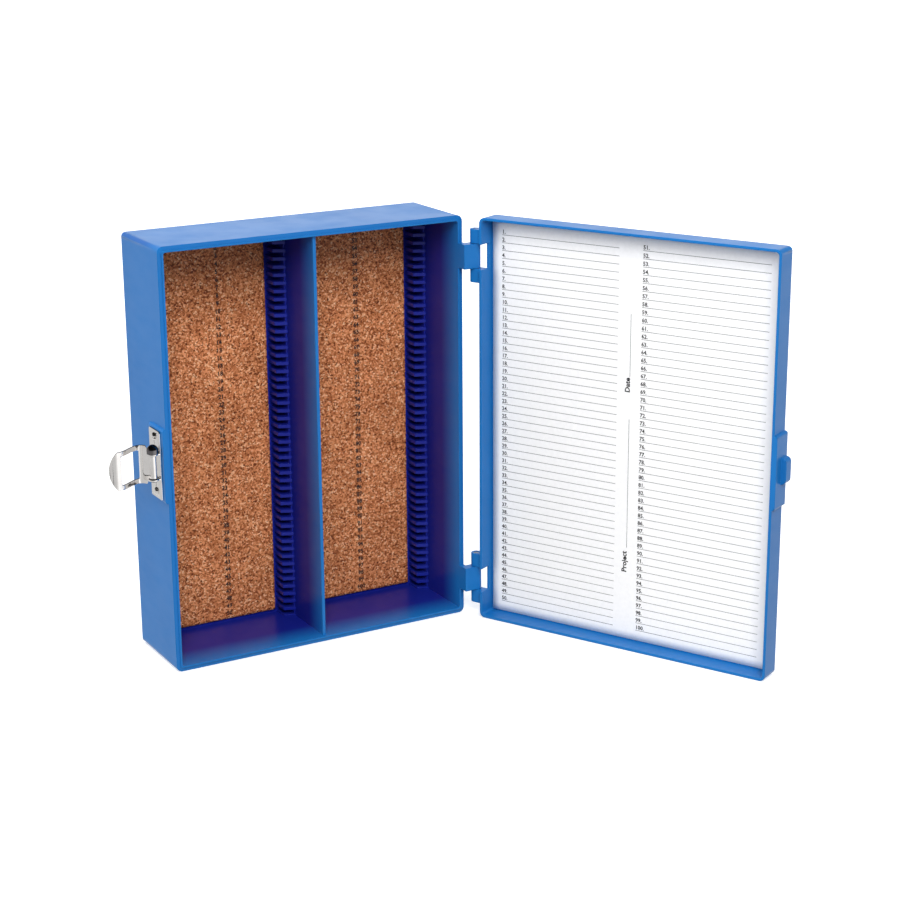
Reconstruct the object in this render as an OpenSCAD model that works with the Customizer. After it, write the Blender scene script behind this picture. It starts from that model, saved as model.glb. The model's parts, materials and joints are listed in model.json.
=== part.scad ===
// Storage box for 100 microscope slides, standing upright on its short side with the lid swung open.
// Frame: +Z is up, +X points to the hinge side, -Y points out of the tray's open front.
// The origin is the centre of the face that the tray stands on.

/* [Box] */
// Width of tray and lid, from the latch side to the hinge side
box_w = 160; // [156:1:180]
// Height of tray and lid as the box stands
box_h = 208; // [200:1:230]
// Depth of the tray, from its front rim to its back
tray_d = 45.6; // [44:0.2:60]
// Depth of the lid
lid_d = 12.3; // [12:0.1:16]
// Radius of the outline's four corners
corner_r = 3; // [2:0.5:4]
// Rounding of the edges round the tray's back and the lid's front
edge_r = 1; // [0.8:0.1:2]

/* [Walls] */
// Thickness of the tray's side walls
wall_t = 2.8; // [2.8:0.1:3.4]
// Thickness of the tray's back
back_t = 1.8; // [1.5:0.1:3]
// Thickness of the divider between the two compartments
divider_t = 1.6; // [1.2:0.1:2.4]
// Width of the recessed shoulder that the lid's rim sits on
shoulder_t = 1.9; // [1.9:0.05:2.1]
// Height of the lip that stands inside the lid's rim
lip_h = 0.8; // [0.4:0.1:0.8]
// Thickness of the lid's side walls
lid_wall_t = 1.35; // [1.2:0.05:1.4]
// Thickness of the lid's front panel
lid_panel_t = 2; // [1.5:0.1:2.5]

/* [Slots] */
// Slots in each rack
slot_count = 50; // [20:1:50]
// Thickness of one rib between two slots
rib_t = 1.7; // [1.2:0.1:2]
// How far the ribs stand out from the wall
rib_reach = 5.8; // [4:0.1:7]
// Depth of a rack along the wall, measured from the tray's back panel
rack_d = 11.6; // [9:0.1:14]
// Thickness of a rack's backing strip
rack_back_t = 0.8; // [0.5:0.1:1.2]

/* [Liners] */
// Thickness of the cork panels
cork_t = 1.2; // [0.8:0.1:2]
// Gap between a cork panel and the racks beside it
cork_gap = 1.2; // [0.5:0.1:2]
// Thickness of the index card in the lid
card_t = 0.4; // [0.2:0.1:0.6]

/* [Hinges] */
// How far the lid stands open, 0 being shut
lid_open = 117; // [0:1:180]
// Distance of each hinge from mid height
hinge_spread = 84.2; // [60:0.1:85]
// Overall length of one hinge along its pin
hinge_len = 26.6; // [20:0.1:30]
// Length of the tray's knuckle in the middle of each hinge
tray_knuckle_len = 12.3; // [8:0.1:14]
// Radius of the knuckles
knuckle_r = 2.6; // [2.2:0.1:2.8]
// Radius of the hinge pins
hinge_pin_r = 1.2; // [0.8:0.1:1.4]

/* [Latch] */
// How far the hasp stands open, 0 being hooked over the lid's catch
hasp_open = 104; // [0:1:130]
// Height of the raised pads under the latch
pad_h = 36.4; // [34:0.1:44]
// How far the pads stand proud of the side walls
pad_proud = 1.5; // [1:0.1:1.5]
// Thickness of the latch's sheet metal
sheet_t = 0.9; // [0.7:0.1:0.9]
// Height of the bracket plate
plate_h = 33.6; // [32:0.1:34]
// Width of the bracket plate along the wall
plate_w = 12.8; // [12:0.1:14]
// Overall height of the hasp
hasp_h = 18.8; // [18:0.1:20]
// Height of the hasp's window
window_h = 14; // [13.6:0.1:14.4]

/* [Hidden] */

PLASTIC = "#2f72c4";
CORK = "#b0784a";
CARD = "#f2f1f4";
STEEL = "#c9ccd0";
FINE = 64;        // facets of a full turn on round parts
EPS = 0.02;       // overlap that joins two touching shapes
THROUGH = 1;      // how far a cutter runs past the face it opens

// Tray and lid
half_w = box_w / 2;
mid_z = box_h / 2;
front_y = -tray_d / 2;
back_y = tray_d / 2;
floor_y = back_y - back_t;
divider_front_y = front_y + 1.5;
rim_inner_r = 1.2;
seat_gap = 0.1;
lid_rim_y = front_y - seat_gap;
lid_floor_y = lid_rim_y - lid_d + lid_panel_t;
compartment_w = (box_w - 2 * wall_t - divider_t) / 2;

// Racks and liners
inner_h = box_h - 2 * wall_t;
slot_pitch = inner_h / slot_count;
rack_front_y = floor_y - rack_d;
rib_slant = 2.6;
rack_back_inset = 0.8;
cork_end_gap = 1.6;
cork_h = inner_h - 2 * cork_end_gap;
card_gap = 0.65;

// Hinges: the pin stands outboard of the side wall and level with the lid
pin_x = half_w + 4.9;
pin_y = front_y - 4.5;
hinge_zs = [mid_z - hinge_spread, mid_z + hinge_spread];
knuckle_gap = 0.15;
bore_clearance = 0.07;
notch_depth = 7.2;
lid_knuckle_len = (hinge_len - tray_knuckle_len) / 2 - knuckle_gap;
hinge_pin_len = hinge_len - 0.4;

// Latch, on the wall opposite the hinges
latch_z = mid_z - 0.4;
pad_face_x = -half_w - pad_proud;
pad_end_r = 1.45;
tray_pad_back_y = -5.2;
lid_pad_front_y = lid_rim_y - lid_d + 0.6;
plate_front_y = -20.4;
plate_corner_r = 1;
plate_face_x = pad_face_x - sheet_t;
barrel_r = 1.75;
barrel_len = 11;
latch_x = plate_face_x - 3;
latch_y = -18.9;
latch_pin_r = 0.9;
latch_knob_r = 2.8;
latch_knob_shank_h = 1.6;
latch_pin_tail_r = 1.5;
latch_pin_tail_h = 0.6;
ear_r = 2.5;
ear_gap = 0.2;
rivet_y = plate_front_y + plate_w / 2;
rivet_spread = 13.5;
rivet_r = 1.2;
rivet_head_r = 1.9;
rivet_head_h = 1.4;
rivet_tail_r = 1.9;
rivet_tail_h = 0.5;

// Catch on the lid, inside the hasp's window when the latch is shut
nose_proud = 2.7;
nose_h = 13;
nose_len = 5.4;
nose_front_y = lid_rim_y - 10.8;
nose_corner_r = 2.6;

// Hasp, measured from its pivot: s runs along the hasp, n stands away from the wall when shut.
// From the barrel the sheet rises to the top of its arch, drops to the hook and ends in the finger tab.
tongue_end = 1.2;
arms_start = 2.6;
arch_top_s = 5.2;
arch_top_n = 6.7;
window_start = 5.7;
window_end = 15.1;
hook_s = 17.3;
hook_n = -3;
hasp_end = 20.9;
hasp_tip_n = -2.1;
hasp_end_r = 13;
hasp_start_n = barrel_r - sheet_t / 2;
hasp_steps = 32;

// ---------------------------------------------------------------- outlines and helpers

module rounded_rect(w, h, r) {
    square([w - 2 * r, h], center = true);
    square([w, h - 2 * r], center = true);
    for (x = [-1, 1], y = [-1, 1])
        translate([x * (w / 2 - r), y * (h / 2 - r)])
            circle(r, $fn = FINE);
}

// A rectangle from y = 0 to y = d whose two corners at y = d are round
module round_backed_rect(w, d, r) {
    translate([-w / 2, 0])
        square([w, d - r]);
    translate([-w / 2 + r, 0])
        square([w - 2 * r, d]);
    for (x = [-1, 1])
        translate([x * (w / 2 - r), d - r])
            circle(r, $fn = FINE);
}

// Extrudes an outline drawn in X and Z from y0 to y1
module along_y(y0, y1) {
    translate([0, y1, 0])
        rotate([90, 0, 0])
            linear_extrude(y1 - y0)
                children();
}

// A block of the box's outline with a flat face at y = 0 and soft edges round the face at y = d
module soft_block(d) {
    intersection() {
        along_y(0, d)
            translate([0, mid_z])
                rounded_rect(box_w, box_h, corner_r);
        linear_extrude(box_h)
            round_backed_rect(box_w, d, edge_r);
        translate([-half_w, 0, mid_z])
            rotate([90, 0, 90])
                linear_extrude(box_w)
                    rotate(-90)
                        round_backed_rect(box_h, d, edge_r);
    }
}

// Turns a piece drawn on the shut lid to where the open lid holds it
module on_lid() {
    translate([pin_x, pin_y, 0])
        rotate(lid_open)
            translate([-pin_x, -pin_y, 0])
                children();
}

// Turns a piece drawn on the shut hasp to where the open hasp holds it
module on_hasp() {
    translate([latch_x, latch_y, 0])
        rotate(-hasp_open)
            translate([-latch_x, -latch_y, 0])
                children();
}

// ---------------------------------------------------------------- tray

module rim_outline(inset) {
    translate([0, mid_z])
        rounded_rect(box_w - 2 * inset, box_h - 2 * inset, max(corner_r - inset, rim_inner_r));
}

// One compartment's outline, on the side of the divider that side points to
module compartment_outline(side) {
    translate([side * (divider_t + compartment_w) / 2, mid_z])
        square([compartment_w, inner_h], center = true);
}

// Knuckle and the web that joins it to a wall face at x = wall_x
module knuckle(wall_x, len) {
    translate([pin_x, pin_y, -len / 2])
        cylinder(r = knuckle_r, h = len, $fn = FINE);
    translate([wall_x, pin_y - knuckle_r, -len / 2])
        cube([pin_x - wall_x, 2 * knuckle_r, len]);
}

// The side wall reaches forward in a tab that carries the tray's knuckle
module tray_knuckle() {
    knuckle(half_w - wall_t, tray_knuckle_len);
    translate([half_w - wall_t, pin_y - knuckle_r, -tray_knuckle_len / 2])
        cube([wall_t, front_y - pin_y + knuckle_r + EPS, tray_knuckle_len]);
}

module pad(y0, y1) {
    along_y(y0, y1)
        translate([-half_w, latch_z])
            rounded_rect(2 * pad_proud, pad_h, pad_end_r);
}

module rivet_holes() {
    for (side = [-1, 1])
        translate([-half_w, rivet_y, latch_z + side * rivet_spread])
            rotate([0, 90, 0])
                cylinder(r = rivet_r, h = 4 * wall_t, center = true, $fn = FINE);
}

module tray() {
    color(PLASTIC)
        difference() {
            union() {
                translate([0, front_y, 0])
                    soft_block(tray_d);
                along_y(front_y - lip_h, front_y + EPS)
                    rim_outline(shoulder_t);
                for (z = hinge_zs)
                    translate([0, 0, z])
                        tray_knuckle();
                pad(front_y, tray_pad_back_y);
            }
            along_y(front_y - lip_h - THROUGH, divider_front_y)
                rim_outline(wall_t);
            for (side = [-1, 1])
                along_y(divider_front_y - THROUGH, floor_y)
                    compartment_outline(side);
            for (z = hinge_zs)
                translate([pin_x, pin_y, z])
                    cylinder(r = hinge_pin_r, h = hinge_len, center = true, $fn = FINE);
            rivet_holes();
        }
}

// ---------------------------------------------------------------- racks and cork

// Plan of one rib: it is deepest at the wall, so that its front leads a slide in
module rib_plan() {
    polygon([
        [0, rack_front_y],
        [rib_reach, rack_front_y + rib_slant],
        [rib_reach, floor_y],
        [0, floor_y],
    ]);
}

// A rack for a wall whose face is at x = 0 and looks along +X
module rack() {
    translate([0, rack_front_y + rack_back_inset, wall_t])
        cube([rack_back_t, rack_d - rack_back_inset, inner_h]);
    for (k = [0 : slot_count]) {
        z_low = max(wall_t, wall_t + k * slot_pitch - rib_t / 2);
        z_high = min(box_h - wall_t, wall_t + k * slot_pitch + rib_t / 2);
        translate([0, 0, z_low])
            linear_extrude(z_high - z_low)
                rib_plan();
    }
}

// Places a rack on the wall face at x, looking to the side that side points to
module placed_rack(x, side) {
    color(PLASTIC)
        translate([x, 0, 0])
            mirror([side < 0 ? 1 : 0, 0, 0])
                rack();
}

module rack_left_outer() {
    placed_rack(-half_w + wall_t, 1);
}

module rack_left_inner() {
    placed_rack(-divider_t / 2, -1);
}

module rack_right_inner() {
    placed_rack(divider_t / 2, 1);
}

module rack_right_outer() {
    placed_rack(half_w - wall_t, -1);
}

// The panel glued to the back of one compartment, between its two racks
module cork_panel(side) {
    panel_w = compartment_w - 2 * (rib_reach + cork_gap);
    color(CORK)
        translate([
            side * (divider_t + compartment_w) / 2 - panel_w / 2,
            floor_y - cork_t,
            mid_z - cork_h / 2,
        ])
            cube([panel_w, cork_t, cork_h]);
}

module cork_left() {
    cork_panel(-1);
}

module cork_right() {
    cork_panel(1);
}

// ---------------------------------------------------------------- hinges

// Cutter for a bore that turns freely on a pin of radius pin_r
module pin_bore(pin_r, len) {
    cylinder(r = pin_r + bore_clearance, h = len, center = true, $fn = FINE);
}

module hinge_pin(z) {
    color(STEEL)
        translate([pin_x, pin_y, z])
            cylinder(r = hinge_pin_r, h = hinge_pin_len, center = true, $fn = FINE);
}

module hinge_pin_lower() {
    hinge_pin(hinge_zs[0]);
}

module hinge_pin_upper() {
    hinge_pin(hinge_zs[1]);
}

// ---------------------------------------------------------------- lid, drawn shut

module lid_knuckles() {
    offset_z = (tray_knuckle_len + lid_knuckle_len) / 2 + knuckle_gap;
    for (z = hinge_zs, side = [-1, 1])
        translate([0, 0, z + side * offset_z])
            knuckle(half_w - EPS, lid_knuckle_len);
}

// The nose that the hasp's window hooks over
module catch_nose() {
    along_y(nose_front_y, nose_front_y + nose_len)
        translate([pad_face_x, latch_z])
            rounded_rect(2 * nose_proud, nose_h, nose_corner_r);
}

module lid_notches() {
    notch_h = tray_knuckle_len + 2 * knuckle_gap;
    for (z = hinge_zs)
        translate([half_w - wall_t, lid_rim_y - notch_depth, z - notch_h / 2])
            cube([wall_t + knuckle_gap, notch_depth + THROUGH, notch_h]);
}

module lid() {
    color(PLASTIC)
        on_lid()
            difference() {
                union() {
                    translate([0, lid_rim_y, 0])
                        mirror([0, 1, 0])
                            soft_block(lid_d);
                    lid_knuckles();
                    pad(lid_pad_front_y, lid_rim_y);
                    catch_nose();
                }
                along_y(lid_floor_y, lid_rim_y + THROUGH)
                    rim_outline(lid_wall_t);
                lid_notches();
                for (z = hinge_zs)
                    translate([pin_x, pin_y, z])
                        pin_bore(hinge_pin_r, 2 * hinge_len);
            }
}

module index_card() {
    card_w = box_w - 2 * (lid_wall_t + card_gap);
    card_h = box_h - 2 * (lid_wall_t + card_gap);
    color(CARD)
        on_lid()
            translate([-card_w / 2, lid_floor_y, mid_z - card_h / 2])
                cube([card_w, card_t, card_h]);
}

// ---------------------------------------------------------------- latch

// The two ears that hold the pin above and below the hasp's barrel
module ears() {
    ear_z = barrel_len / 2 + ear_gap + sheet_t / 2;
    for (side = [-1, 1])
        translate([latch_x, latch_y, latch_z + side * ear_z]) {
            cylinder(r = ear_r, h = sheet_t, center = true, $fn = FINE);
            translate([0, plate_front_y - latch_y, -sheet_t / 2])
                cube([plate_face_x - latch_x + EPS, latch_y - plate_front_y + ear_r, sheet_t]);
        }
}

module latch_bracket() {
    color(STEEL)
        difference() {
            union() {
                translate([plate_face_x, plate_front_y + plate_w / 2, latch_z])
                    rotate([90, 0, 90])
                        linear_extrude(sheet_t)
                            rounded_rect(plate_w, plate_h, plate_corner_r);
                ears();
            }
            translate([latch_x, latch_y, latch_z])
                cylinder(r = latch_pin_r, h = 2 * barrel_len, center = true, $fn = FINE);
            rivet_holes();
        }
}

// A pin with a round knob on top and its tail riveted over under the lower ear
module latch_pin() {
    reach = barrel_len / 2 + ear_gap + sheet_t;
    color(STEEL)
        translate([latch_x, latch_y, latch_z]) {
            cylinder(r = latch_pin_r, h = 2 * reach, center = true, $fn = FINE);
            translate([0, 0, -reach - latch_pin_tail_h])
                cylinder(r = latch_pin_tail_r, h = latch_pin_tail_h, $fn = FINE);
            translate([0, 0, reach]) {
                cylinder(r = latch_knob_r, h = latch_knob_shank_h, $fn = FINE);
                intersection() {
                    translate([0, 0, latch_knob_shank_h])
                        sphere(latch_knob_r, $fn = FINE);
                    cylinder(r = 2 * latch_knob_r, h = 2 * latch_knob_r + latch_knob_shank_h);
                }
            }
        }
}

// One rivet along X, its domed head at x = 0 looking along -X and its tail grip away
module rivet(grip) {
    dome_r = (rivet_head_r * rivet_head_r + rivet_head_h * rivet_head_h) / (2 * rivet_head_h);
    rotate([0, 90, 0]) {
        intersection() {
            translate([0, 0, dome_r - rivet_head_h])
                sphere(dome_r, $fn = FINE);
            translate([0, 0, -rivet_head_h])
                cylinder(r = rivet_head_r, h = rivet_head_h, $fn = FINE);
        }
        cylinder(r = rivet_r, h = grip, $fn = FINE);
        translate([0, 0, grip])
            cylinder(r = rivet_tail_r, h = rivet_tail_h, $fn = FINE);
    }
}

module latch_rivets() {
    color(STEEL)
        for (side = [-1, 1])
            translate([plate_face_x, rivet_y, latch_z + side * rivet_spread])
                rivet(sheet_t + pad_proud + wall_t);
}

// Height of the hasp's middle surface above the pivot: it leaves the barrel's outer side, arches over
// the catch, hooks down in front of it at the end of the window, then lifts into the finger tab
function hasp_n(s) =
    s <= arch_top_s
        ? hasp_start_n + (arch_top_n - hasp_start_n) * sin(90 * s / arch_top_s) :
    s <= hook_s
        ? hook_n + (arch_top_n - hook_n) * (1 + cos(180 * (s - arch_top_s) / (hook_s - arch_top_s))) / 2
        : hook_n + (hasp_tip_n - hook_n) * pow((s - hook_s) / (hasp_end - hook_s), 1.5);

// The point beside the middle surface at s, offset square to the sheet
function hasp_edge(s, offset) =
    let (along = [2 * EPS, hasp_n(s + EPS) - hasp_n(s - EPS)])
    [s, hasp_n(s)] + offset * [-along[1], along[0]] / norm(along);

// Side view of the bent sheet, with s along X and n along Y
module hasp_side() {
    ss = [for (k = [0 : hasp_steps]) hasp_end * k / hasp_steps];
    polygon(concat(
        [for (s = ss) hasp_edge(s, sheet_t / 2)],
        [for (k = [hasp_steps : -1 : 0]) hasp_edge(ss[k], -sheet_t / 2)]
    ));
}

// Front view of the hasp: a tongue that widens into a frame with a window and a rounded finger tab
module hasp_front() {
    difference() {
        union() {
            polygon([
                [-barrel_r, -barrel_len / 2],
                [tongue_end, -barrel_len / 2],
                [arms_start, -hasp_h / 2],
                [arms_start, hasp_h / 2],
                [tongue_end, barrel_len / 2],
                [-barrel_r, barrel_len / 2],
            ]);
            intersection() {
                translate([arms_start - EPS, -hasp_h / 2])
                    square([hasp_end, hasp_h]);
                translate([hasp_end - hasp_end_r, 0])
                    circle(hasp_end_r, $fn = 2 * FINE);
            }
        }
        translate([(window_start + window_end) / 2, 0])
            rounded_rect(window_end - window_start, window_h, 1);
    }
}

// Drawn shut, so that s runs along -Y and n along -X
module latch_hasp() {
    color(STEEL)
        on_hasp()
            translate([latch_x, latch_y, latch_z])
                difference() {
                    union() {
                        cylinder(r = barrel_r, h = barrel_len, center = true, $fn = FINE);
                        intersection() {
                            rotate(-90)
                                mirror([0, 1, 0])
                                    linear_extrude(hasp_h, center = true)
                                        hasp_side();
                            mirror([0, 1, 0])
                                rotate([90, 0, 90])
                                    linear_extrude(4 * arch_top_n, center = true)
                                        hasp_front();
                        }
                    }
                    pin_bore(latch_pin_r, 2 * barrel_len);
                }
}

tray();
rack_left_outer();
rack_left_inner();
rack_right_inner();
rack_right_outer();
cork_left();
cork_right();
hinge_pin_upper();
hinge_pin_lower();
latch_bracket();
latch_pin();
latch_rivets();
lid();
index_card();
latch_hasp();
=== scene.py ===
import json
import math

import bmesh
import bpy
from mathutils import Matrix, Vector, noise

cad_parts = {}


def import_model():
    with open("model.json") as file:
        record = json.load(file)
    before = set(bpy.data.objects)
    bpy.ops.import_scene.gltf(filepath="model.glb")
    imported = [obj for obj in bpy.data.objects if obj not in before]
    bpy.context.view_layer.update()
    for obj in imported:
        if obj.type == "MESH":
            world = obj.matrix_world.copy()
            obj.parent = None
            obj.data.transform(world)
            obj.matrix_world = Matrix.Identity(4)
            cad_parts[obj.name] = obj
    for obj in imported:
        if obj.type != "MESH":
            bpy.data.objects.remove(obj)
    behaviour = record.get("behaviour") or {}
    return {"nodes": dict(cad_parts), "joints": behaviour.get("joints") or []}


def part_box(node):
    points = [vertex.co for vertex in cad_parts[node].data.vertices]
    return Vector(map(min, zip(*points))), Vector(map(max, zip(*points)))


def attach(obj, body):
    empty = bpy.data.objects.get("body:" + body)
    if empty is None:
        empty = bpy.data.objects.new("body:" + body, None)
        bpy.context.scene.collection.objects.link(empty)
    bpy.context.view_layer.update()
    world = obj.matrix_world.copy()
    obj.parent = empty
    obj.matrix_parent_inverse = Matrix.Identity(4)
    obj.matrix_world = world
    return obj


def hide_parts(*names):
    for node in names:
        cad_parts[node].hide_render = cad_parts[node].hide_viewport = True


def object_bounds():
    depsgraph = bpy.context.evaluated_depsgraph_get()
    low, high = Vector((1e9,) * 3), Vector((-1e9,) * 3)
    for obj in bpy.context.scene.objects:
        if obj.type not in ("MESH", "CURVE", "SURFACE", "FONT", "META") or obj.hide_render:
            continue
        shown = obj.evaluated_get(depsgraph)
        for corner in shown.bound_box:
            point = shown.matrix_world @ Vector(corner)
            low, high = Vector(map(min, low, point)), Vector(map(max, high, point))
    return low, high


MM = 0.001

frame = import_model()
cad_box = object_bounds()
joints = {joint["name"]: joint for joint in frame["joints"]}


# ---------------------------------------------------------------- places

def lid_matrix():
    """Carries a point of the shut lid to where the open lid holds it."""
    joint = joints["lid_hinge"]
    pin = Matrix.Translation(joint["pos_m"])
    shut_angle = joint["range_deg"][0]
    return pin @ Matrix.Rotation(math.radians(-shut_angle), 4, "Z") @ pin.inverted()


def box_in(node, matrix):
    """Lowest and highest corner of a CAD node in the frame that matrix carries to the row frame."""
    back = matrix.inverted()
    points = [back @ vertex.co for vertex in frame["nodes"][node].data.vertices]
    low = Vector([min(point[axis] for point in points) for axis in range(3)])
    high = Vector([max(point[axis] for point in points) for axis in range(3)])
    return low, high


LID = lid_matrix()
CARD_LOW, CARD_HIGH = box_in("index_card", LID)
BOX_HALF_WIDTH = 80 * MM

# On the card, X runs away from the hinge, Y up and Z out of the paper.
CARD_FRAME = LID @ Matrix((
    (-1, 0, 0, BOX_HALF_WIDTH),
    (0, 0, 1, CARD_HIGH.y),
    (0, 1, 0, 0),
    (0, 0, 0, 1),
))


def cork_frame(node):
    """On the cork, X runs along the row frame's X, Y up and Z out of the cork."""
    low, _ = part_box(node)
    return Matrix((
        (1, 0, 0, 0),
        (0, 0, -1, low.y),
        (0, 1, 0, 0),
        (0, 0, 0, 1),
    ))


# ---------------------------------------------------------------- node helpers

# The Mix node's colour sockets come after its sockets for numbers and vectors.
FIRST_COLOUR = 6
SECOND_COLOUR = 7
MIXED_COLOUR = 2

# Most values of a noise texture lie between these two.
NOISE_LOW = 0.3
NOISE_HIGH = 0.7


def feed(tree, socket, value):
    """Links value to socket, or sets the socket itself where value is a plain number or colour."""
    if isinstance(value, bpy.types.NodeSocket):
        tree.links.new(value, socket)
    elif socket.type == "RGBA":
        socket.default_value = (*value, 1)
    else:
        socket.default_value = value


def add(tree, kind, **values):
    """A node of that kind, with its inputs and its settings given by name, _ standing for a space."""
    node = tree.nodes.new(kind)
    for name, value in values.items():
        socket = node.inputs.get(name.replace("_", " "))
        if socket is None:
            setattr(node, name, value)
        else:
            feed(tree, socket, value)
    return node


def new_material(name):
    """A material, its node tree and the object coordinates in that tree."""
    material = bpy.data.materials.new(name)
    material.use_nodes = True
    tree = material.node_tree
    return material, tree, add(tree, "ShaderNodeTexCoord").outputs["Object"]


def set_surface(tree, **values):
    """Feeds the material's Principled shader, with _ standing for a space in each input's name."""
    shader = tree.nodes["Principled BSDF"]
    for name, value in values.items():
        feed(tree, shader.inputs[name.replace("_", " ")], value)


def calculate(tree, operation, first, second):
    """The result of one sum on two values."""
    node = add(tree, "ShaderNodeMath", operation=operation)
    feed(tree, node.inputs[0], first)
    feed(tree, node.inputs[1], second)
    return node.outputs["Value"]


def product(tree, factors):
    """The product of several values."""
    result, *others = factors
    for factor in others:
        result = calculate(tree, "MULTIPLY", result, factor)
    return result


def remap(tree, value, span, onto):
    """Maps the range span to the range onto, and holds values beyond span at its ends."""
    low, high = span
    to_low, to_high = onto
    node = add(
        tree, "ShaderNodeMapRange",
        Value=value, From_Min=low, From_Max=high, To_Min=to_low, To_Max=to_high,
    )
    return node.outputs["Result"]


def ramp(tree, factor, stops):
    """A colour ramp over factor, with (position, colour) stops."""
    node = add(tree, "ShaderNodeValToRGB", Fac=factor)
    elements = node.color_ramp.elements
    while len(elements) < len(stops):
        elements.new(position=0.5)
    for element, (position, colour) in zip(elements, stops):
        element.position = position
        element.color = (*colour, 1)
    return node.outputs["Color"]


def two_tone(tree, factor, low_tone, high_tone):
    """Turns a noise into the colours between two tones."""
    return ramp(tree, factor, [(NOISE_LOW, low_tone), (NOISE_HIGH, high_tone)])


def mix_colour(tree, factor, first, second, blend="MIX"):
    """Mixes two colours, each a socket or a plain colour."""
    node = add(tree, "ShaderNodeMix", data_type="RGBA", blend_type=blend, Factor=factor)
    feed(tree, node.inputs[FIRST_COLOUR], first)
    feed(tree, node.inputs[SECOND_COLOUR], second)
    return node.outputs[MIXED_COLOUR]


def noise_at(tree, coords, scale, detail, roughness=0.5):
    """Noise with features about 1 / scale metres across."""
    node = add(
        tree, "ShaderNodeTexNoise",
        Vector=coords, Scale=scale, Detail=detail, Roughness=roughness,
    )
    return node.outputs["Fac"]


def stretched(tree, coords, scale):
    """Coordinates scaled by a different amount along each axis."""
    return add(tree, "ShaderNodeMapping", Vector=coords, Scale=scale).outputs["Vector"]


def bump(tree, height, distance, strength, normal=None):
    """Bumps a surface by height times distance, in metres; normal is an earlier bump to build on."""
    node = add(tree, "ShaderNodeBump", Height=height, Distance=distance, Strength=strength)
    if normal is not None:
        feed(tree, node.inputs["Normal"], normal)
    return node.outputs["Normal"]


# ---------------------------------------------------------------- materials

# Plastic: its own tones outside, and darker tones painted inside the compartments as the shade of
# their walls. The colour turns to the painted shade over a fade that starts at the compartments' mouth
# (a Y of the row frame), and turns back within the outer skin.
OUTER_BLUES = ((0.008, 0.148, 0.45), (0.011, 0.166, 0.49))
PAINTED_SHADE_BLUES = ((0.007, 0.013, 0.23), (0.010, 0.019, 0.27))
COMPARTMENT_MOUTH = -21 * MM
SHADE_FADE = 15 * MM
OUTER_SKIN = 1.5 * MM
PLASTIC_IOR = 1.33
EDGE_RADIUS = 0.45 * MM

# Cork: tones of its granules from the darkest to the lightest.
CORK_BROWNS = (
    (0.0, (0.14, 0.034, 0.012)),
    (0.15, (0.36, 0.105, 0.038)),
    (0.5, (0.62, 0.215, 0.085)),
    (0.85, (0.84, 0.35, 0.155)),
    (1.0, (0.95, 0.58, 0.34)),
)
CORK_BARK = (0.10, 0.028, 0.010)
CORK_PATCHES = ((0.80, 0.78, 0.76), (1, 1, 1))

CARD_WHITES = ((0.88, 0.88, 0.885), (0.94, 0.94, 0.945))
INK_SPECK_EDGE = 0.1
PAINTED_DARK_REFLECTION = (0.03, 0.028, 0.03)
STEEL_GREYS = ((0.42, 0.41, 0.40), (0.62, 0.61, 0.60))

FADE_IN = (0, 1)
FADE_OUT = (1, 0)


def painted_shade_mask(tree, coords):
    """Mask of the painted shade: 1 deep inside the tray's compartments, falling to 0 at their mouths and
    on every outer face.
    """
    low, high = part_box("tray")
    x, y, z = add(tree, "ShaderNodeSeparateXYZ", Vector=coords).outputs
    return product(tree, [
        remap(tree, y, (COMPARTMENT_MOUTH, COMPARTMENT_MOUTH + SHADE_FADE), FADE_IN),
        remap(tree, y, (high.y - OUTER_SKIN, high.y), FADE_OUT),
        remap(tree, x, (-BOX_HALF_WIDTH, OUTER_SKIN - BOX_HALF_WIDTH), FADE_IN),
        remap(tree, x, (BOX_HALF_WIDTH - OUTER_SKIN, BOX_HALF_WIDTH), FADE_OUT),
        remap(tree, z, (low.z, low.z + OUTER_SKIN), FADE_IN),
        remap(tree, z, (high.z - OUTER_SKIN, high.z), FADE_OUT),
    ])


def blue_plastic():
    """Moulded blue plastic: semi-gloss and slightly uneven, with shade painted in a darker colour inside
    the compartments.
    """
    material, tree, coords = new_material("blue_plastic")
    cloud = noise_at(tree, coords, scale=22, detail=4)
    outer = two_tone(tree, cloud, *OUTER_BLUES)
    # Darker blues painted inside the compartments stand for the shade their walls cast.
    inner = two_tone(tree, cloud, *PAINTED_SHADE_BLUES)
    rubs = noise_at(tree, stretched(tree, coords, (30, 30, 90)), scale=2, detail=3)
    edges = add(tree, "ShaderNodeBevel", Radius=EDGE_RADIUS, samples=6)
    flow = noise_at(tree, coords, scale=160, detail=1)
    set_surface(
        tree,
        Base_Color=mix_colour(tree, painted_shade_mask(tree, coords), outer, inner),
        Roughness=remap(tree, rubs, span=(0.35, 0.7), onto=(0.28, 0.36)),
        IOR=PLASTIC_IOR,
        Normal=bump(tree, flow, distance=0.02 * MM, strength=0.35, normal=edges.outputs["Normal"]),
    )
    return material


def cork():
    """Pressed cork: small granules of many browns, dark bark specks and open pores."""
    material, tree, coords = new_material("cork")
    granules = add(tree, "ShaderNodeTexVoronoi", Vector=coords, Scale=1250, Randomness=1)
    shade = add(tree, "ShaderNodeSeparateColor", Color=granules.outputs["Color"])
    browns = ramp(tree, shade.outputs["Red"], CORK_BROWNS)
    patches = two_tone(tree, noise_at(tree, coords, scale=45, detail=4), *CORK_PATCHES)
    mottled = mix_colour(tree, 1.0, browns, patches, blend="MULTIPLY")
    bark = noise_at(tree, coords, scale=850, detail=4, roughness=0.7)
    specks = remap(tree, bark, span=(0.57, 0.63), onto=(0, 0.9))
    pits = noise_at(tree, coords, scale=1100, detail=5, roughness=0.7)
    pores = bump(tree, pits, distance=0.2 * MM, strength=0.7)
    # Distance grows from the middle of each granule to its edge.
    domes = bump(tree, granules.outputs["Distance"], distance=-0.15 * MM, strength=0.5, normal=pores)
    set_surface(
        tree,
        Base_Color=mix_colour(tree, specks, mottled, CORK_BARK),
        Roughness=0.85,
        Specular_IOR_Level=0.25,
        Normal=domes,
    )
    return material


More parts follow.
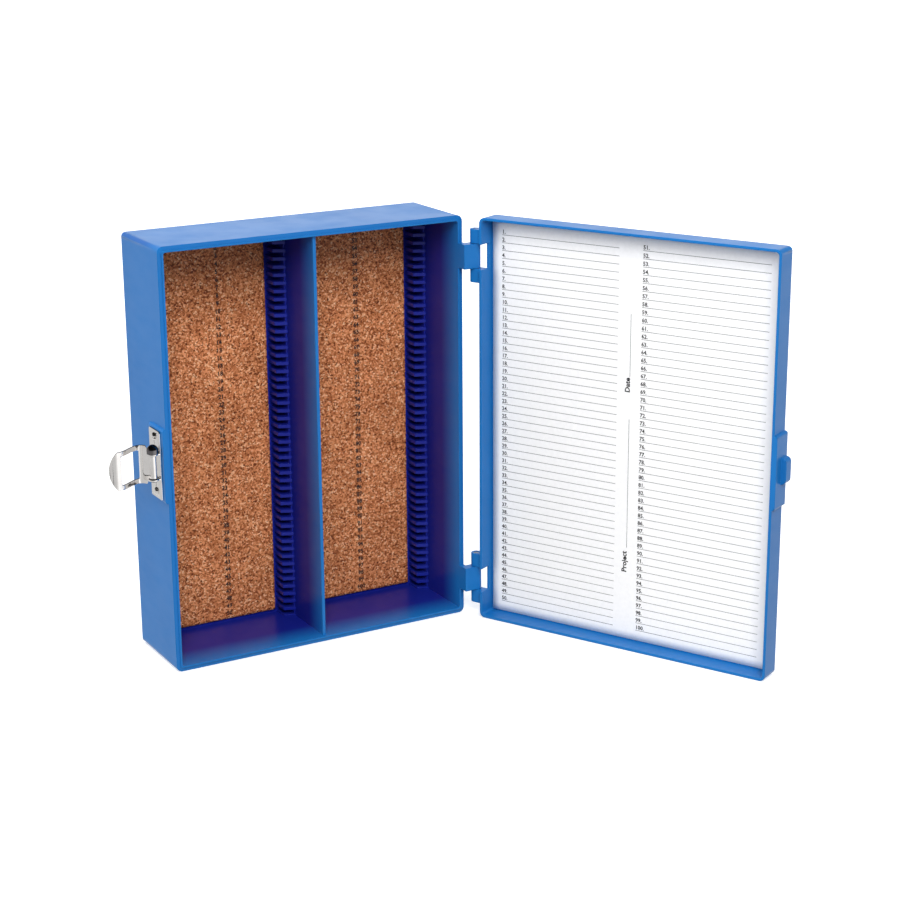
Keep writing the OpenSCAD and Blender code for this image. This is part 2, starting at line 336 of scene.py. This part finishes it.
def card():
    """Uncoated index card: near white, with paper fibres and a faint cockle."""
    material, tree, coords = new_material("card")
    mottle = noise_at(tree, coords, scale=500, detail=5, roughness=0.7)
    waves = noise_at(tree, coords, scale=24, detail=1)
    cockle = bump(tree, waves, distance=0.15 * MM, strength=0.25)
    fibres = noise_at(tree, stretched(tree, coords, (1, 1, 3)), scale=1500, detail=4, roughness=0.7)
    set_surface(
        tree,
        Base_Color=two_tone(tree, mottle, *CARD_WHITES),
        Roughness=0.7,
        Normal=bump(tree, fibres, distance=0.02 * MM, strength=0.4, normal=cockle),
    )
    return material


def ink(name, dark, worn, coverage):
    """Printed ink with fine worn specks, fewer of them as coverage rises."""
    material, tree, coords = new_material(name)
    wear = noise_at(tree, coords, scale=2500, detail=3, roughness=0.6)
    specks = remap(tree, wear, (coverage, coverage + INK_SPECK_EDGE), FADE_IN)
    set_surface(tree, Base_Color=mix_colour(tree, specks, dark, worn), Roughness=0.6)
    return material


def nickel(name, low_tone, high_tone):
    """Polished nickel plate: hairline scratches, a wavy sheet under them and a painted dark reflection
    on upward faces.
    """
    material, tree, coords = new_material(name)
    tone = two_tone(tree, noise_at(tree, coords, scale=130, detail=3), low_tone, high_tone)
    normal = add(tree, "ShaderNodeNewGeometry").outputs["Normal"]
    # Upward faces are darkened in colour: a painted dark reflection of the dark room above.
    upward = add(tree, "ShaderNodeSeparateXYZ", Vector=normal).outputs["Z"]
    painted_reflection_mask = remap(tree, upward, span=(0.5, 0.9), onto=(0, 0.9))
    hairlines = noise_at(tree, stretched(tree, coords, (1, 1, 12)), scale=700, detail=5, roughness=0.7)
    waves = noise_at(tree, coords, scale=240, detail=2)
    wavy = bump(tree, waves, distance=0.04 * MM, strength=0.4)
    set_surface(
        tree,
        Metallic=1.0,
        Base_Color=mix_colour(tree, painted_reflection_mask, tone, PAINTED_DARK_REFLECTION),
        Roughness=remap(tree, hairlines, span=(0.4, 0.75), onto=(0.06, 0.2)),
        Normal=bump(tree, hairlines, distance=0.004 * MM, strength=0.4, normal=wavy),
    )
    return material


def pin_steel():
    """Drawn steel wire, with streaks along its length."""
    material, tree, coords = new_material("pin_steel")
    streaks = noise_at(tree, stretched(tree, coords, (12, 12, 1)), scale=300, detail=4)
    set_surface(
        tree,
        Metallic=1.0,
        Base_Color=two_tone(tree, streaks, *STEEL_GREYS),
        Roughness=remap(tree, streaks, span=(NOISE_LOW, NOISE_HIGH), onto=(0.22, 0.4)),
    )
    return material


BLUE = blue_plastic()
CORK = cork()
CARD = card()
CORK_INK = ink("cork_ink", dark=(0.010, 0.006, 0.006), worn=(0.10, 0.04, 0.02), coverage=0.68)
CARD_INK = ink("card_ink", dark=(0.006, 0.006, 0.008), worn=(0.05, 0.05, 0.055), coverage=0.70)
RULE_INK = ink("rule_ink", dark=(0.10, 0.10, 0.11), worn=(0.45, 0.45, 0.46), coverage=0.6)
NICKEL = nickel("nickel", low_tone=(0.85, 0.82, 0.80), high_tone=(0.93, 0.91, 0.89))
# A darker copy of the nickel: the pin's knob is painted dark for the dark reflections it shows.
PAINTED_DARK_NICKEL = nickel("nickel_painted_dark", low_tone=(0.10, 0.095, 0.10), high_tone=(0.24, 0.23, 0.235))
PIN_STEEL = pin_steel()


# ---------------------------------------------------------------- CAD nodes that stay

FINE_EDGE = 0.15 * MM
BROAD_EDGE = 0.2 * MM
# Edges that turn by less than this angle, in degrees, stay as they are.
CORNER_ANGLE = 35
# The same, on nodes with tight curves
CURVE_ANGLE = 50
WELD_DISTANCE = 0.002 * MM
EDGE_SEGMENTS = 2
LARGE_FACES_LEAD = 100


def soften(node, material, width, angle=CORNER_ANGLE, clamp=False):
    """Gives a CAD node its finish, and bevels by width the edges that turn by more than angle."""
    piece = frame["nodes"][node]
    piece.data.materials.clear()
    piece.data.materials.append(material)
    weld = piece.modifiers.new("weld", "WELD")
    weld.merge_threshold = WELD_DISTANCE
    bevel = piece.modifiers.new("soft_edges", "BEVEL")
    bevel.width = width
    bevel.segments = EDGE_SEGMENTS
    bevel.limit_method = "ANGLE"
    bevel.angle_limit = math.radians(angle)
    bevel.use_clamp_overlap = clamp
    normals = piece.modifiers.new("even_normals", "WEIGHTED_NORMAL")
    normals.weight = LARGE_FACES_LEAD


soften("tray", BLUE, FINE_EDGE, angle=CURVE_ANGLE, clamp=True)
soften("lid", BLUE, FINE_EDGE, angle=CURVE_ANGLE)
for node in ("rack_left_outer", "rack_left_inner", "rack_right_inner", "rack_right_outer"):
    soften(node, BLUE, FINE_EDGE)
soften("latch_bracket", NICKEL, BROAD_EDGE)
soften("latch_hasp", NICKEL, FINE_EDGE, angle=CURVE_ANGLE)
soften("latch_rivets", NICKEL, FINE_EDGE)
# The pin takes the nickel painted dark, a painted reflection.
soften("latch_pin", PAINTED_DARK_NICKEL, FINE_EDGE)
for node in ("hinge_pin_upper", "hinge_pin_lower"):
    soften(node, PIN_STEEL, BROAD_EDGE, clamp=True)


# ---------------------------------------------------------------- sheets and print

# Print stands this far in front of its surface.
INK_LIFT = 0.03 * MM
PRINT_CURVE_STEPS = 2
SLOTS_PER_COLUMN = 50
FIRST_SLOTS = {"left": 1, "right": 51}


def new_piece(name, mesh, material, place, body):
    """A mesh made in the frame that place carries to the row frame, riding on a body."""
    mesh.transform(place)
    mesh.materials.clear()
    mesh.materials.append(material)
    piece = bpy.data.objects.new(name, mesh)
    bpy.context.scene.collection.objects.link(piece)
    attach(piece, body)
    return piece


def sheet(name, low, high, cell, thickness, shape):
    """A sheet between two corners, made of square cells; shape gives each point of its face."""
    columns = round((high.x - low.x) / cell)
    rows = round((high.y - low.y) / cell)
    grid = bmesh.new()
    bmesh.ops.create_grid(grid, x_segments=columns, y_segments=rows, size=1)
    for vertex in grid.verts:
        # The grid runs from -1 to 1 both ways.
        x = low.x + (high.x - low.x) * (vertex.co.x + 1) / 2
        y = low.y + (high.y - low.y) * (vertex.co.y + 1) / 2
        vertex.co = shape(x, y)
    bmesh.ops.solidify(grid, geom=grid.faces[:], thickness=thickness)
    for face in grid.faces:
        face.smooth = True
    mesh = bpy.data.meshes.new(name)
    grid.to_mesh(mesh)
    grid.free()
    return mesh


def printed(name, lines, size, weight, pitch, start, align="LEFT", turn=0.0):
    """Lines of print as one thin mesh; start is the X and Y of the first baseline's anchor."""
    curve = bpy.data.curves.new(name, "FONT")
    curve.body = "\n".join(lines)
    curve.size = size
    curve.space_line = pitch / size
    curve.align_x = align
    curve.offset = weight
    curve.resolution_u = PRINT_CURVE_STEPS
    text = bpy.data.objects.new(name + "_curve", curve)
    bpy.context.scene.collection.objects.link(text)
    bpy.context.view_layer.update()
    mesh = bpy.data.meshes.new_from_object(text)
    mesh.name = name
    bpy.data.objects.remove(text)
    mesh.transform(Matrix.Translation((*start, INK_LIFT)) @ Matrix.Rotation(turn, 4, "Z"))
    return mesh


# ---------------------------------------------------------------- cork panels

CORK_CELL = 1.2 * MM
CORK_RAGGED_DEPTH = 0.25 * MM
CORK_RAGGED_SCALE = 400
CORK_GRAIN_DEPTH = 0.12 * MM
CORK_GRAIN_SCALE = 900
# Keeps the grain's noise apart from the noise of the ragged edge.
CORK_GRAIN_LAYER = 0.01

CORK_NUMBER_SIZE = 3.0 * MM
CORK_NUMBER_WEIGHT = 0.11 * MM
CORK_NUMBER_PITCH = 3.93 * MM
CORK_FIRST_BASELINE = 199.0 * MM
CORK_NUMBER_X = {"left": -33.3 * MM, "right": 42.2 * MM}


def cork_panel(side):
    """One compartment's cork, with uneven edges and face, and its slot numbers."""
    node = "cork_" + side
    place = cork_frame(node)
    low, high = box_in(node, place)

    def shape(x, y):
        ragged = CORK_RAGGED_DEPTH * abs(noise.noise(Vector((x, y, 0)) * CORK_RAGGED_SCALE))
        grain = CORK_GRAIN_DEPTH * abs(noise.noise(Vector((x, y, CORK_GRAIN_LAYER)) * CORK_GRAIN_SCALE))
        return Vector((
            min(max(x, low.x + ragged), high.x - ragged),
            min(max(y, low.y + ragged), high.y - ragged),
            -grain,
        ))

    thickness = high.z - low.z - 2 * CORK_GRAIN_DEPTH
    mesh = sheet(node + "_sheet", low, high, CORK_CELL, thickness, shape)
    panel = new_piece(node + "_sheet", mesh, CORK, place, "tray")
    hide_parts(node)

    numbers = [str(FIRST_SLOTS[side] + slot) for slot in range(SLOTS_PER_COLUMN)]
    mesh = printed(
        node + "_numbers", numbers, CORK_NUMBER_SIZE, CORK_NUMBER_WEIGHT, CORK_NUMBER_PITCH,
        start=(CORK_NUMBER_X[side], CORK_FIRST_BASELINE), align="CENTER",
    )
    new_piece(node + "_numbers", mesh, CORK_INK, place, "tray")


cork_panel("left")
cork_panel("right")


# ---------------------------------------------------------------- index card

CARD_CELL = 4 * MM
CARD_THICKNESS = 0.3 * MM
# Each corner lifts by the curl, over a square of this size.
CARD_CURL = 0.35 * MM
CARD_CORNER = 6 * MM

# First number of each column, and where its rules start and end
COLUMNS = (
    (FIRST_SLOTS["left"], 7.3 * MM, 72.6 * MM),
    (FIRST_SLOTS["right"], 85.3 * MM, 151.0 * MM),
)
FIRST_RULE = 198.6 * MM
RULE_PITCH = 3.902 * MM
RULE_WIDTH = 0.24 * MM
CARD_NUMBER_SIZE = 2.75 * MM
CARD_NUMBER_WEIGHT = 0.08 * MM
CARD_NUMBER_LIFT = 0.65 * MM

# The fields between the columns read upwards: each word's start, then its rule's start and end.
FIELDS = (
    ("Date", 128.6 * MM, 136.3 * MM, 167.4 * MM),
    ("Project", 36.8 * MM, 49.7 * MM, 115.3 * MM),
)
FIELD_X = 79.5 * MM
FIELD_WORD_SIZE = 3.7 * MM
FIELD_WORD_WEIGHT = 0.12 * MM


def index_card():
    """The card in the lid, with its corners a little lifted."""
    low = Vector((BOX_HALF_WIDTH - CARD_HIGH.x, CARD_LOW.z, 0))
    high = Vector((BOX_HALF_WIDTH - CARD_LOW.x, CARD_HIGH.z, 0))

    def shape(x, y):
        past_x = max(low.x + CARD_CORNER - x, x - high.x + CARD_CORNER, 0)
        past_y = max(low.y + CARD_CORNER - y, y - high.y + CARD_CORNER, 0)
        return Vector((x, y, CARD_CURL * past_x * past_y / CARD_CORNER ** 2))

    mesh = sheet("card_sheet", low, high, CARD_CELL, CARD_THICKNESS, shape)
    piece = new_piece("card_sheet", mesh, CARD, CARD_FRAME, "lid")
    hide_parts("index_card")


def card_rules():
    """The rules of both columns and of the two fields, as thin flat strips."""
    rules = bmesh.new()

    def strip(x0, y0, x1, y1):
        corners = ((x0, y0), (x1, y0), (x1, y1), (x0, y1))
        rules.faces.new([rules.verts.new((x, y, INK_LIFT)) for x, y in corners])

    for _, start, end in COLUMNS:
        for slot in range(SLOTS_PER_COLUMN):
            y = FIRST_RULE - slot * RULE_PITCH
            strip(start, y - RULE_WIDTH / 2, end, y + RULE_WIDTH / 2)
    for _, _, bottom, top in FIELDS:
        strip(FIELD_X - RULE_WIDTH / 2, bottom, FIELD_X + RULE_WIDTH / 2, top)
    mesh = bpy.data.meshes.new("card_rules")
    rules.to_mesh(mesh)
    rules.free()
    new_piece("card_rules", mesh, RULE_INK, CARD_FRAME, "lid")


def card_print():
    """The numbers at the start of every rule, and the words of the two fields."""
    for first, start, _ in COLUMNS:
        name = f"card_numbers_{first}"
        numbers = [f"{first + slot}." for slot in range(SLOTS_PER_COLUMN)]
        mesh = printed(
            name, numbers, CARD_NUMBER_SIZE, CARD_NUMBER_WEIGHT, RULE_PITCH,
            start=(start, FIRST_RULE + CARD_NUMBER_LIFT),
        )
        new_piece(name, mesh, CARD_INK, CARD_FRAME, "lid")
    for word, bottom, _, _ in FIELDS:
        name = "card_word_" + word.lower()
        mesh = printed(
            name, [word], FIELD_WORD_SIZE, FIELD_WORD_WEIGHT, FIELD_WORD_SIZE,
            start=(FIELD_X, bottom), turn=math.radians(90),
        )
        new_piece(name, mesh, CARD_INK, CARD_FRAME, "lid")


index_card()
card_rules()
card_print()


# ---------------------------------------------------------------- floor, light and camera

WHITE = (1, 1, 1)

FLOOR_RADIUS = 12
FLOOR_SEGMENTS = 96
FLOOR_GREY = (0.86, 0.86, 0.86)
FLOOR_DROP = 0.2 * MM
# The floor glows a little near the box, and is as white as the studio from the far distance on.
FLOOR_GLOW = (0.45, 1.0)
GLOW_DISTANCES = (0.4, 1.6)

ROOM_LIGHT = 0.5

# What reflections show, by direction: a white table that ends just below the horizon in front, and
# a white wall that rises behind the box. Above the edge is a dark room, after a soft border.
FRONT_TO_BACK = (-0.2, 0.5)
EDGE_HEIGHTS = (-0.05, 0.34)
EDGE_BORDER = (0, 0.15)
WHITE_TO_DARK = (1.0, 0.03)
LEFT_TO_RIGHT = (-0.35, 0.15)
SIDE_STRENGTHS = (0.6, 1.15)

# Name, place, size and power of each area light
LIGHTS = (
    ("front", (-0.40, -1.15, 1.05), 0.7, 18),
    ("left", (-1.35, 0.15, 0.55), 0.9, 9),
    ("above", (0.1, 0.5, 1.4), 1.2, 9),
)
LIGHT_TARGET = (0.0, 0.0, 0.1)

# Lens and sensor in millimetres, and the camera's angles in degrees
LENS = 80.68
SENSOR_WIDTH = 36
CAMERA_PLACE = (-0.41166, -0.87219, 0.38067)
CAMERA_HEADING = -29.677
CAMERA_DIP = 16.630
CAMERA_ROLL = -0.381


def floor():
    """A pale disc under the box that takes its shadow, but neither lights it nor shows in its gloss."""
    disc = bmesh.new()
    bmesh.ops.create_circle(disc, cap_ends=True, segments=FLOOR_SEGMENTS, radius=FLOOR_RADIUS)
    mesh = bpy.data.meshes.new("floor")
    disc.to_mesh(mesh)
    disc.free()
    material, tree, coords = new_material("floor")
    distance = add(tree, "ShaderNodeVectorMath", operation="LENGTH", Vector=coords)
    set_surface(
        tree,
        Base_Color=FLOOR_GREY,
        Roughness=0.9,
        Specular_IOR_Level=0.1,
        Emission_Color=WHITE,
        Emission_Strength=remap(tree, distance.outputs["Value"], GLOW_DISTANCES, FLOOR_GLOW),
    )
    mesh.materials.append(material)
    piece = bpy.data.objects.new("floor", mesh)
    piece.location.z = cad_box[0].z - FLOOR_DROP
    piece.visible_glossy = False
    piece.visible_diffuse = False
    bpy.context.scene.collection.objects.link(piece)


def world():
    """A studio that is plain white to the camera, dim as a light, and partly dark in reflections."""
    studio = bpy.data.worlds.new("studio")
    bpy.context.scene.world = studio
    studio.use_nodes = True
    tree = studio.node_tree
    direction = add(tree, "ShaderNodeTexCoord").outputs["Generated"]
    x, y, z = add(tree, "ShaderNodeSeparateXYZ", Vector=direction).outputs
    rays = add(tree, "ShaderNodeLightPath").outputs

    def background(strength):
        node = add(tree, "ShaderNodeBackground", Color=WHITE, Strength=strength)
        return node.outputs["Background"]

    def choose(factor, first, second):
        node = add(tree, "ShaderNodeMixShader")
        for socket, value in zip(node.inputs, (factor, first, second)):
            feed(tree, socket, value)
        return node.outputs["Shader"]

    edge = remap(tree, y, FRONT_TO_BACK, EDGE_HEIGHTS)
    above_edge = calculate(tree, "SUBTRACT", z, edge)
    white = remap(tree, above_edge, EDGE_BORDER, WHITE_TO_DARK)
    side = remap(tree, x, LEFT_TO_RIGHT, SIDE_STRENGTHS)
    reflected = background(product(tree, [white, side]))
    lit = choose(rays["Is Glossy Ray"], background(ROOM_LIGHT), reflected)
    seen = choose(rays["Is Camera Ray"], lit, background(1.0))
    feed(tree, tree.nodes["World Output"].inputs["Surface"], seen)


def area_light(name, place, size, power):
    """A square light that looks at LIGHT_TARGET and doesn't show in reflections."""
    light = bpy.data.lights.new(name, "AREA")
    light.size = size
    light.energy = power
    lamp = bpy.data.objects.new(name, light)
    lamp.location = place
    lamp.visible_glossy = False
    aim = Vector(LIGHT_TARGET) - Vector(place)
    lamp.rotation_euler = aim.to_track_quat("-Z", "Y").to_euler()
    bpy.context.scene.collection.objects.link(lamp)


def camera():
    """The camera, in front of the box's left side and a little above it."""
    lens = bpy.data.cameras.new("camera")
    lens.sensor_width = SENSOR_WIDTH
    lens.lens = LENS
    view = bpy.data.objects.new("camera", lens)
    heading = Matrix.Rotation(math.radians(CAMERA_HEADING), 4, "Z")
    tilt = Matrix.Rotation(math.radians(90 - CAMERA_DIP), 4, "X")
    roll = Matrix.Rotation(math.radians(CAMERA_ROLL), 4, "Z")
    view.matrix_world = Matrix.Translation(CAMERA_PLACE) @ heading @ tilt @ roll
    bpy.context.scene.collection.objects.link(view)
    bpy.context.scene.camera = view


bpy.context.scene.view_settings.view_transform = "Standard"
floor()
world()
for name, place, size, power in LIGHTS:
    area_light(name, place, size, power)
camera()
